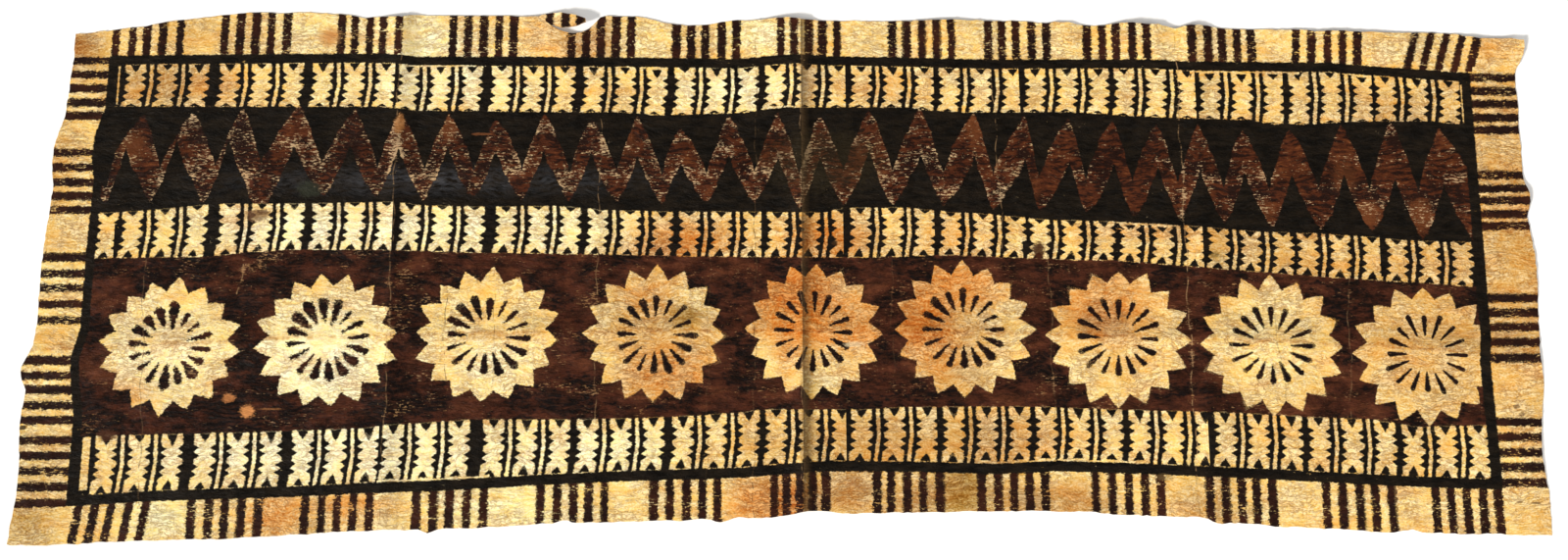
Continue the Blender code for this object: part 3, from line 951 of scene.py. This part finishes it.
def barkGroup():
    # beaten fibres: wavy streaks and wrinkles along the sheet, fine dark cracks, and a height for the bump
    tints = {"stain": (0.90, 0.62, 0.36), "speck": (0.35, 0.25, 0.2), "crack": (0.50, 0.32, 0.20)}
    group, entry, leave = newGroup("beaten bark", {"Vector": "Place", "Color": "Tone"},
                                   {"Color": "Color", "Float": "Height Fibre"})
    drift = noiseOf(entry["Place"], 0.016, 3.0, 0.5, output="Color")
    place = vectorMath("ADD", entry["Place"], vectorMath("MULTIPLY", drift, (0.0, 30.0, 0.0)))
    fibre = grain(place, 0.07, 0.26, 4.0, 0.65)
    fine = grain(place, 0.34, 0.52, 3.0, 0.65)
    wrinkle = grain(place, 0.06, 0.13, 3.0, 0.55)
    blotch = noiseOf(entry["Place"], 0.022, 5.0, 0.65)
    lines = []
    for scale, sharp, slide in (((0.045, 0.15, 1.0), 27.0, 0.0), ((0.09, 0.13, 1.0), 34.0, 3.0)):
        moved = vectorMath("ADD", vectorMath("MULTIPLY", place, scale), (slide, slide, slide))
        field = unsigned(minus(noiseOf(moved, 1.0, 4.0, 0.6), 0.5))
        lines.append(no(times(field, sharp), clamp=True))
    crack = times(larger(lines[0], times(lines[1], 0.8)), rangeOf(blotch, 0.38, 0.54))
    # a higher power makes a tone both darker and warmer
    power = timesPlus(fibre, -2.4, 2.4)
    for field, amount in ((fine, 3.2), (blotch, 2.8), (wrinkle, 1.4)):
        power = timesPlus(minus(field, 0.5), -amount, power)
    colour = joinNode("ShaderNodeGamma", {"Color": entry["Tone"], "Gamma": larger(power, 0.85)})[0]
    stain = rangeOf(grain(place, 0.013, 0.045, 6.0, 0.65), 0.48, 0.66)
    speck = rangeOf(noiseOf(entry["Place"], 0.38, 1.0, 0.5), 0.735, 0.79)
    for name, mask, strength in (("stain", stain, 0.6), ("speck", speck, 0.7), ("crack", crack, 0.85)):
        colour = mixed(times(mask, strength), colour, vectorMath("MULTIPLY", colour, tints[name]))
    send(colour, leave["Color"])
    high = plus(timesPlus(fine, 0.25, times(fibre, 0.5)), wrinkle)
    send(minus(high, times(crack, 0.2)), leave["Height"])
    send(fibre, leave["Fibre"])
    return group


def flecksGroup():
    # short flecks along the fibres where dye has rubbed off or never took; more of them at a higher amount
    group, entry, leave = newGroup("rubbed flecks", {"Vector": "Place", "Float": "Amount"},
                                   {"Float": "Mask"})
    short = grain(entry["Place"], 0.15, 0.50, 4.0, 0.72)
    broad = grain(entry["Place"], 0.02, 0.05, 3.0, 0.6)
    field = plus(short, timesPlus(broad, 0.55, -0.275))
    hurdle = minus(0.80, times(entry["Amount"], 0.34))
    send(times(minus(field, hurdle), 28.0, clamp=True), leave["Mask"])
    return group


def markGroup(name, shapeOf):
    # one ragged shape of a given middle and size
    group, entry, leave = newGroup(name, {"Vector": "Place Middle Size", "Float": "Rag"}, {"Float": "Mask"})
    off = vectorMath("SUBTRACT", entry["Place"], entry["Middle"])
    send(shapeOf(off, entry["Size"], entry["Rag"]), leave["Mask"])
    return group


def spotShape(off, size, rag):
    length = vectorMath("LENGTH", vectorMath("DIVIDE", off, size), output="Value")
    return times(timesPlus(rag, 0.26, no(length)), 2.6, clamp=True)


def barShape(off, size, rag):
    besideX, besideY, _ = split(vectorMath("SUBTRACT", size, vectorMath("ABSOLUTE", off)))
    return soft(timesPlus(rag, 0.7, smaller(besideX, besideY)))


stencil, zigzag, flower, stripes = stencilGroup(), zigzagGroup(), flowerGroup(), stripeGroup()
bark, flecks = barkGroup(), flecksGroup()
spot, plainBar = markGroup("spot", spotShape), markGroup("plain bar", barShape)
print("pattern groups made")

# Colours of the dyes, of what shows where they are rubbed, of cracks and the underside, and of painted
# shade, dirt and a painted sheen
dyes = {
    "black": (0.0038, 0.0028, 0.0018, 1.0), "blackBrown": (0.0075, 0.0040, 0.0035, 1.0),
    "redBrown": (0.060, 0.0168, 0.0085, 1.0), "zigzag": (0.070, 0.0185, 0.0070, 1.0),
    "zigzagDark": (0.016, 0.0062, 0.0040, 1.0), "stripe": (0.015, 0.0060, 0.0042, 1.0),
    "stripeRed": (0.045, 0.0125, 0.0060, 1.0), "paintedSheen": (0.070, 0.070, 0.078, 1.0),
    "warmBrown": (0.11, 0.033, 0.014, 1.0), "zigzagWarm": (0.140, 0.042, 0.013, 1.0),
    "greyBlack": (0.014, 0.012, 0.0105, 1.0), "brownBlack": (0.016, 0.0105, 0.0060, 1.0),
    "rubbedGround": (0.20, 0.085, 0.04, 1.0), "rubbedZigzag": (0.45, 0.30, 0.185, 1.0),
    "rubbedBlack": (0.16, 0.12, 0.08, 1.0), "paleCrack": (0.42, 0.25, 0.12, 1.0),
    "darkCrack": (0.10, 0.05, 0.02, 1.0), "shadeAndDirt": (0.06, 0.035, 0.015, 1.0),
    "paintedCreaseShade": (0.60, 0.38, 0.20, 1.0), "underside": (0.56, 0.40, 0.20, 1.0),
    "through": (0.10, 0.055, 0.03, 1.0),
}
# Scuffed places, where flecks of the bark show through the dye: middle, half width, half height, how many
scuffs = (
    (-223, 194, 22, 15, 0.3), (-645, 22, 22, 22, 0.22), (-610, 30, 34, 8, 0.2), (-458, -20, 14, 60, 0.2),
    (-455, -165, 12, 30, 0.2), (-620, 205, 14, 14, 0.25), (-600, -262, 45, 7, 0.35),
    (30, 180, 10, 60, 0.2), (45, 90, 16, 16, 0.2), (415, 60, 18, 8, 0.25), (-215, -20, 60, 22, 0.12),
    (520, 0, 30, 16, 0.15), (640, 60, 22, 6, 0.3), (-345, -190, 30, 12, 0.1), (-476, 150, 10, 70, 0.25),
    (-648, 75, 16, 14, 0.3), (-790, 80, 16, 10, 0.3), (-690, 85, 14, 10, 0.25), (-640, 42, 16, 10, 0.25),
)
# Places where the zigzag's dye is thin and orange: middle, half width, half height, strength
thinDye = (
    (711, 80, 20, 20, 0.8), (775, 80, 18, 24, 0.75), (686, 128, 18, 26, 0.4), (234, 190, 13, 22, 0.7),
    (588, 86, 16, 14, 0.5), (-60, 100, 24, 14, 0.6), (-800, 165, 20, 24, 0.6), (-413, 190, 12, 20, 0.7),
    (-195, 170, 18, 20, 0.4), (300, 110, 16, 20, 0.3),
)
# Plain bars outside the stencil's repeat: middle, half width, half height
plainBars = ((-828, -219, 4.6, 31), (-824, 243, 1.0, 24), (-428, 267.5, 46, 0.9), (837.5, 219, 0.8, 24))

# Single spots on the face: middle, half width, half height, colour, strength
spots = (
    (-565, 305, 15, 14, (0.50, 0.25, 0.09), 0.6), (-640, -158, 10, 9, (0.62, 0.25, 0.08), 0.9),
    (-663, -142, 9, 6, (0.50, 0.19, 0.06), 0.8), (-612, -155, 17, 1.4, (0.22, 0.09, 0.03), 0.8),
    (-371, 181, 15, 2, (0.20, 0.07, 0.025), 0.7), (-580, 112, 18, 12, (0.030, 0.032, 0.020), 0.7),
    (60, 45, 6, 5, (0.01, 0.007, 0.005), 0.95), (309, 36, 9, 13, (0.05, 0.014, 0.006), 0.95),
    (523, 31, 7, 4, (0.14, 0.09, 0.025), 0.6), (85, -78, 15, 4, (0.80, 0.62, 0.36), 0.6),
    (-906, -177, 6, 4, (0.02, 0.01, 0.006), 0.9), (228, -112, 46, 5, (0.62, 0.42, 0.18), 0.5),
    (450, -235, 12, 5, (0.18, 0.11, 0.04), 0.5), (-474, 194, 8, 14, (0.36, 0.15, 0.045), 0.8),
    (-805, -186, 13, 9, (0.07, 0.025, 0.012), 0.8), (-642, 79, 17, 9, (0.16, 0.075, 0.035), 0.75),
    (50, 148, 85, 46, (0.030, 0.021, 0.009), 0.4), (874, -152, 5, 3, (0.12, 0.06, 0.025), 0.7),
    (879, -161, 4, 3, (0.12, 0.06, 0.025), 0.6), (868, -264, 5, 1.4, (0.10, 0.05, 0.02), 0.7),
    (887, -265, 7, 1.3, (0.10, 0.05, 0.02), 0.7), (-636, 84, 9, 4, (0.07, 0.03, 0.015), 0.7),
)


# How much flecks, creases, painted shade and dirt, and a painted sheen show on the face, and how rough and
# how uneven it is
faceLook = {
    "flecks": {"everywhere": 0.2, "crack": 0.3, "ground": 0.25, "border": 0.3, "zigzagEdge": 0.18},
    "paintedSheenAt": (-420.0, 124.0), "paintedSheenReach": (330.0, 24.0), "shadedCrease": 24.0, "shadeAndDirtReach": 40.0,
    "creaseReach": 4.5, "crackReach": 5.0, "inkRough": (0.34, 0.52), "barkRough": 0.88, "specular": 0.045,
    "inkDepth": 0.06, "bumpHeight": 0.0024,
}


def printedFace():
    look, more = faceLook, faceLook["flecks"]
    material, tree, shader = newMaterial("printed bark")
    place = attribute(tree, "sheetPlace")
    placeX, placeY, _ = split(place)
    strip1Near, strip2Far, strip2Near = split(attribute(tree, "bandsUpper"))
    strip3Far, inFrame, inPanel = split(attribute(tree, "bandsLower"))
    rag = plus(rangeOf(grain(place, 0.12, 0.22, 2.0, 0.5), 0.3, 0.7, -0.7, 0.7),
               rangeOf(grain(place, 0.40, 0.9, 2.0, 0.6), 0.3, 0.7, -0.8, 0.8))

    def over(distance):
        return soft(plus(distance, rag))

    def marked(group, x, y, wide, deep):
        sizes = {"Place": place, "Middle": (x, y, 0.0), "Size": (wide, deep, 1.0), "Rag": rag}
        return useGroup(group, sizes)["Mask"]

    # where each part of the print lies
    framed, panel = over(inFrame), over(inPanel)
    blackBand = both(panel, no(over(strip1Near)), over(strip2Far))
    flowerBand = both(panel, no(over(strip2Near)), over(strip3Far))
    strip2 = both(no(over(strip2Far)), over(strip2Near))
    strips = both(panel, larger(larger(over(strip1Near), strip2), no(over(strip3Far))))
    blocks = useGroup(stencil, {"Place": attribute(tree, "stencilPlace"), "Rag": rag,
                                "Sort": attribute(tree, "stencilSort"),
                                "Rims": attribute(tree, "stencilRims")})["Mask"]
    wobble = rangeOf(noiseOf(place, 0.045, 2.0, 0.5), 0.3, 0.7, -1.6, 1.6)
    line = useGroup(zigzag, {"Place": attribute(tree, "zigzagPlace"), "Rag": plus(rag, wobble),
                             "Inner": attribute(tree, "zigzagInner")})
    star = useGroup(flower, {"Place": attribute(tree, "flowerPlace"), "Rag": rag,
                             "Sort": attribute(tree, "flowerSort")})
    stripe = useGroup(stripes, {"Place": attribute(tree, "stripePlace"), "Rag": times(rag, 1.9)})["Mask"]
    zigzagMask = both(blackBand, line["Mask"])
    paleStar = both(flowerBand, star["Petals"], no(star["Seeds"]))
    bare = plus(plus(both(strips, blocks), paleStar), both(no(framed), no(stripe)), clamp=True)
    for where in plainBars:
        bare = larger(bare, marked(plainBar, *where))

    # the dyes: uneven black and red-brown, grimy in places, and a painted sheen of reflected light on the
    # black band
    barkOut = useGroup(bark, {"Place": place, "Tone": attribute(tree, "barkToneAndLight")})
    fibre = barkOut["Fibre"]
    across, zigzagWorn, brown = split(attribute(tree, "creasePlace"))
    blotch = grain(place, 0.014, 0.024, 6.0, 0.72)
    browner = plus(blotch, brown)
    ground = mixed(rangeOf(browner, 0.455, 0.52), dyes["blackBrown"], dyes["redBrown"])
    ground = mixed(rangeOf(browner, 0.55, 0.62), ground, dyes["warmBrown"])
    streak = both(rangeOf(fibre, 0.46, 0.64), 0.4)
    grime = rangeOf(grain(place, 0.03, 0.09, 6.0, 0.75), 0.42, 0.62)
    # painted sheen: a bluish grey streaked over the black band where light would reflect off it
    paintedSheen = [nearness(minus(value, middle), reach)
             for value, middle, reach in zip((placeX, placeY), look["paintedSheenAt"], look["paintedSheenReach"])]
    black = mixed(both(*paintedSheen, rangeOf(fibre, 0.40, 0.60)), dyes["black"], dyes["paintedSheen"])
    black = mixed(both(grime, 0.8), mixed(streak, black, dyes["greyBlack"]), dyes["brownBlack"])
    ground = mixed(both(grime, 0.7), mixed(streak, ground, dyes["warmBrown"]), dyes["black"])
    ink = mixed(flowerBand, black, ground)
    ink = mixed(no(framed), ink, mixed(rangeOf(blotch, 0.45, 0.65), dyes["stripe"], dyes["stripeRed"]))
    redder = plus(plus(fibre, timesPlus(blotch, 0.8, -0.4)), rangeOf(placeX, -700.0, 0.0, -0.04, 0.0))
    zigzagInk = mixed(rangeOf(redder, 0.44, 0.54), dyes["zigzagDark"], dyes["zigzag"])
    zigzagInk = mixed(rangeOf(redder, 0.59, 0.72), zigzagInk, dyes["zigzagWarm"])
    for *where, strength in thinDye:
        zigzagInk = mixed(both(marked(spot, *where), strength), zigzagInk, dyes["zigzagWarm"])
    ink = mixed(zigzagMask, ink, zigzagInk)
    inPetals = both(flowerBand, star["Petals"], rangeOf(placeX, -620.0, -250.0, 0.15, 0.85))
    ink = mixed(inPetals, ink, dyes["blackBrown"])

    # flecks where they are rubbed off
    crackOff, crackPale, crackDark = split(attribute(tree, "crackPlace"))
    amount = times(both(nearness(crackOff, look["crackReach"]), crackPale), more["crack"])
    zigzagRim = no(divided(line["Edge"], 8.0), clamp=True)
    amount = plus(amount, both(zigzagMask, timesPlus(zigzagRim, more["zigzagEdge"], zigzagWorn)))
    amount = plus(amount, times(flowerBand, more["ground"]))
    amount = plus(amount, times(no(framed), more["border"]))
    for *where, extra in scuffs:
        amount = timesPlus(marked(spot, *where), extra, amount)
    rubbed = useGroup(flecks, {"Place": place, "Amount": plus(amount, more["everywhere"])})["Mask"]
    rubbedColour = mixed(both(flowerBand, 0.85), barkOut["Color"], dyes["rubbedGround"])
    rubbedColour = mixed(both(zigzagMask, 0.75), rubbedColour, dyes["rubbedZigzag"])
    rubbedColour = mixed(both(blackBand, no(zigzagMask), 0.8), rubbedColour, dyes["rubbedBlack"])
    colour = mixed(bare, mixed(times(rubbed, 0.9), ink, rubbedColour), barkOut["Color"])

    # cracks, painted shade and dirt beside the middle crease, spots, and a painted shade line along the
    # crease through the flowers
    dashes = rangeOf(noiseOf(place, 0.09, 3.0, 0.7), 0.42, 0.56)
    thread = no(unsigned(crackOff), clamp=True)
    colour = mixed(both(thread, crackPale, dashes, no(bare), 0.75), colour, dyes["paleCrack"])
    colour = mixed(both(thread, crackDark, bare, dashes), colour, dyes["darkCrack"])
    # painted shade, with some dirt, on the right flank of the middle crease
    shade = smaller(timesPlus(across, 0.8, 0.9, clamp=True), timesPlus(across, -0.1, 1.0, clamp=True))
    atMiddle = nearness(minus(placeX, look["shadedCrease"]), look["shadeAndDirtReach"])
    colour = mixed(both(shade, rangeOf(atMiddle, 0.3, 0.6), 0.8), colour, dyes["shadeAndDirt"])
    for *where, tint, strength in spots:
        colour = mixed(times(marked(spot, *where), strength), colour, (*tint, 1.0))
    # painted shade: a dark brownish line along the crease through the flowers
    offCrease = plus(split(attribute(tree, "flowerSort"))[2], wobble)
    crease = both(nearness(offCrease, look["creaseReach"]), dashes, bare, 0.75)
    colour = mixed(crease, colour, mixed(1.0, colour, dyes["paintedCreaseShade"], blend="MULTIPLY"))
    send(colour, shader.inputs["Base Color"])

    inkRough = rangeOf(fibre, 0.3, 0.7, *look["inkRough"])
    rough = {0: bare, 2: inkRough, 3: look["barkRough"]}
    send(joinNode("ShaderNodeMix", rough, data_type="FLOAT")[0], shader.inputs["Roughness"])
    high = minus(barkOut["Height"], times(bare, look["inkDepth"]))
    bump = {"Height": high, "Strength": 1.0, "Distance": look["bumpHeight"]}
    send(joinNode("ShaderNodeBump", bump)[0], shader.inputs["Normal"])
    shader.inputs["Specular IOR Level"].default_value = look["specular"]
    return material


undersideLook = {
    "throughShare": 0.35, "roughness": 0.85, "specular": 0.3, "bumpStrength": 0.5, "bumpHeight": 0.0009,
}


def bareUnderside():
    look = undersideLook
    material, tree, shader = newMaterial("bare bark")
    place = attribute(tree, "sheetPlace")
    barkOut = useGroup(bark, {"Place": place, "Tone": dyes["underside"]})
    panel = split(attribute(tree, "bandsLower"))[2]
    through = times(soft(panel, 14.0), look["throughShare"])
    shown = rangeOf(noiseOf(place, 0.03, 4.0, 0.6), 0.35, 0.65)
    send(mixed(times(through, shown), barkOut["Color"], dyes["through"]), shader.inputs["Base Color"])
    bump = {"Height": barkOut["Height"], "Strength": look["bumpStrength"], "Distance": look["bumpHeight"]}
    send(joinNode("ShaderNodeBump", bump)[0], shader.inputs["Normal"])
    shader.inputs["Roughness"].default_value = look["roughness"]
    shader.inputs["Specular IOR Level"].default_value = look["specular"]
    return material


cloth.data.materials.append(printedFace())
cloth.data.materials.append(bareUnderside())
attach(cloth, "root")
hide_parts("bark_cloth")
print("cloth finished")


# The floor, the light and the camera
stageLook = {
    "floorSize": 9.0, "floorDrop": 0.0004, "floorColour": (0.97, 0.965, 0.955, 1.0), "floorRoughness": 0.9,
    "floorSpecular": 0.2, "worldColour": (1.0, 0.99, 0.97, 1.0), "worldStrength": 0.38,
    "keyFrom": (-1.25, -0.95, 1.1), "keyStrength": 3.75, "keySoftness": 9.0,
    "keyColour": (1.0, 0.97, 0.92),
}
lights = (
    {"name": "window", "at": (-0.9, 0.62, 1.5), "size": 0.5, "power": 3.0, "colour": (0.92, 0.96, 1.0)},
    {"name": "fill", "at": (1.5, -1.2, 2.2), "size": 1.4, "power": 20.0, "colour": (1.0, 0.98, 0.95)},
)


def aimed(place):
    # turned from its place towards the middle of the cloth
    return (-Vector(place)).to_track_quat("-Z", "Y").to_euler()


def makeStage():
    look = stageLook
    bpy.ops.object.select_all(action="DESELECT")
    bpy.ops.mesh.primitive_plane_add(size=look["floorSize"], location=(0.0, 0.0, -look["floorDrop"]))
    floor = bpy.context.object
    floor.name = "floor"
    material, _, shader = newMaterial("pale floor")
    shader.inputs["Base Color"].default_value = look["floorColour"]
    shader.inputs["Roughness"].default_value = look["floorRoughness"]
    shader.inputs["Specular IOR Level"].default_value = look["floorSpecular"]
    floor.data.materials.append(material)
    world = bpy.data.worlds.new("soft surroundings")
    bpy.context.scene.world = world
    world.use_nodes = True
    background = world.node_tree.nodes["Background"]
    background.inputs["Color"].default_value = look["worldColour"]
    background.inputs["Strength"].default_value = look["worldStrength"]
    bpy.ops.object.light_add(type="SUN", location=look["keyFrom"], rotation=aimed(look["keyFrom"]))
    key = bpy.context.object
    key.name = "key"
    key.data.energy = look["keyStrength"]
    key.data.angle = math.radians(look["keySoftness"])
    key.data.color = look["keyColour"]
    for light in lights:
        bpy.ops.object.light_add(type="AREA", location=light["at"], rotation=aimed(light["at"]))
        lamp = bpy.context.object
        lamp.name = light["name"]
        lamp.data.shape = "DISK"
        lamp.data.size = light["size"]
        lamp.data.energy = light["power"]
        lamp.data.color = light["colour"]
        lamp.visible_camera = False


def makeCamera():
    tilt = math.radians(camera["tilt"])
    x, y = -boxMiddle * mm
    above = (x, y - camera["distance"] * math.sin(tilt), camera["distance"] * math.cos(tilt))
    bpy.ops.object.camera_add(location=above, rotation=(tilt, 0.0, 0.0))
    bpy.context.object.data.lens = camera["lens"]
    bpy.context.object.data.sensor_width = camera["sensor"]
    bpy.context.scene.camera = bpy.context.object


makeStage()
makeCamera()
bpy.context.scene.view_settings.view_transform = "Standard"
print("stage, light and camera set")
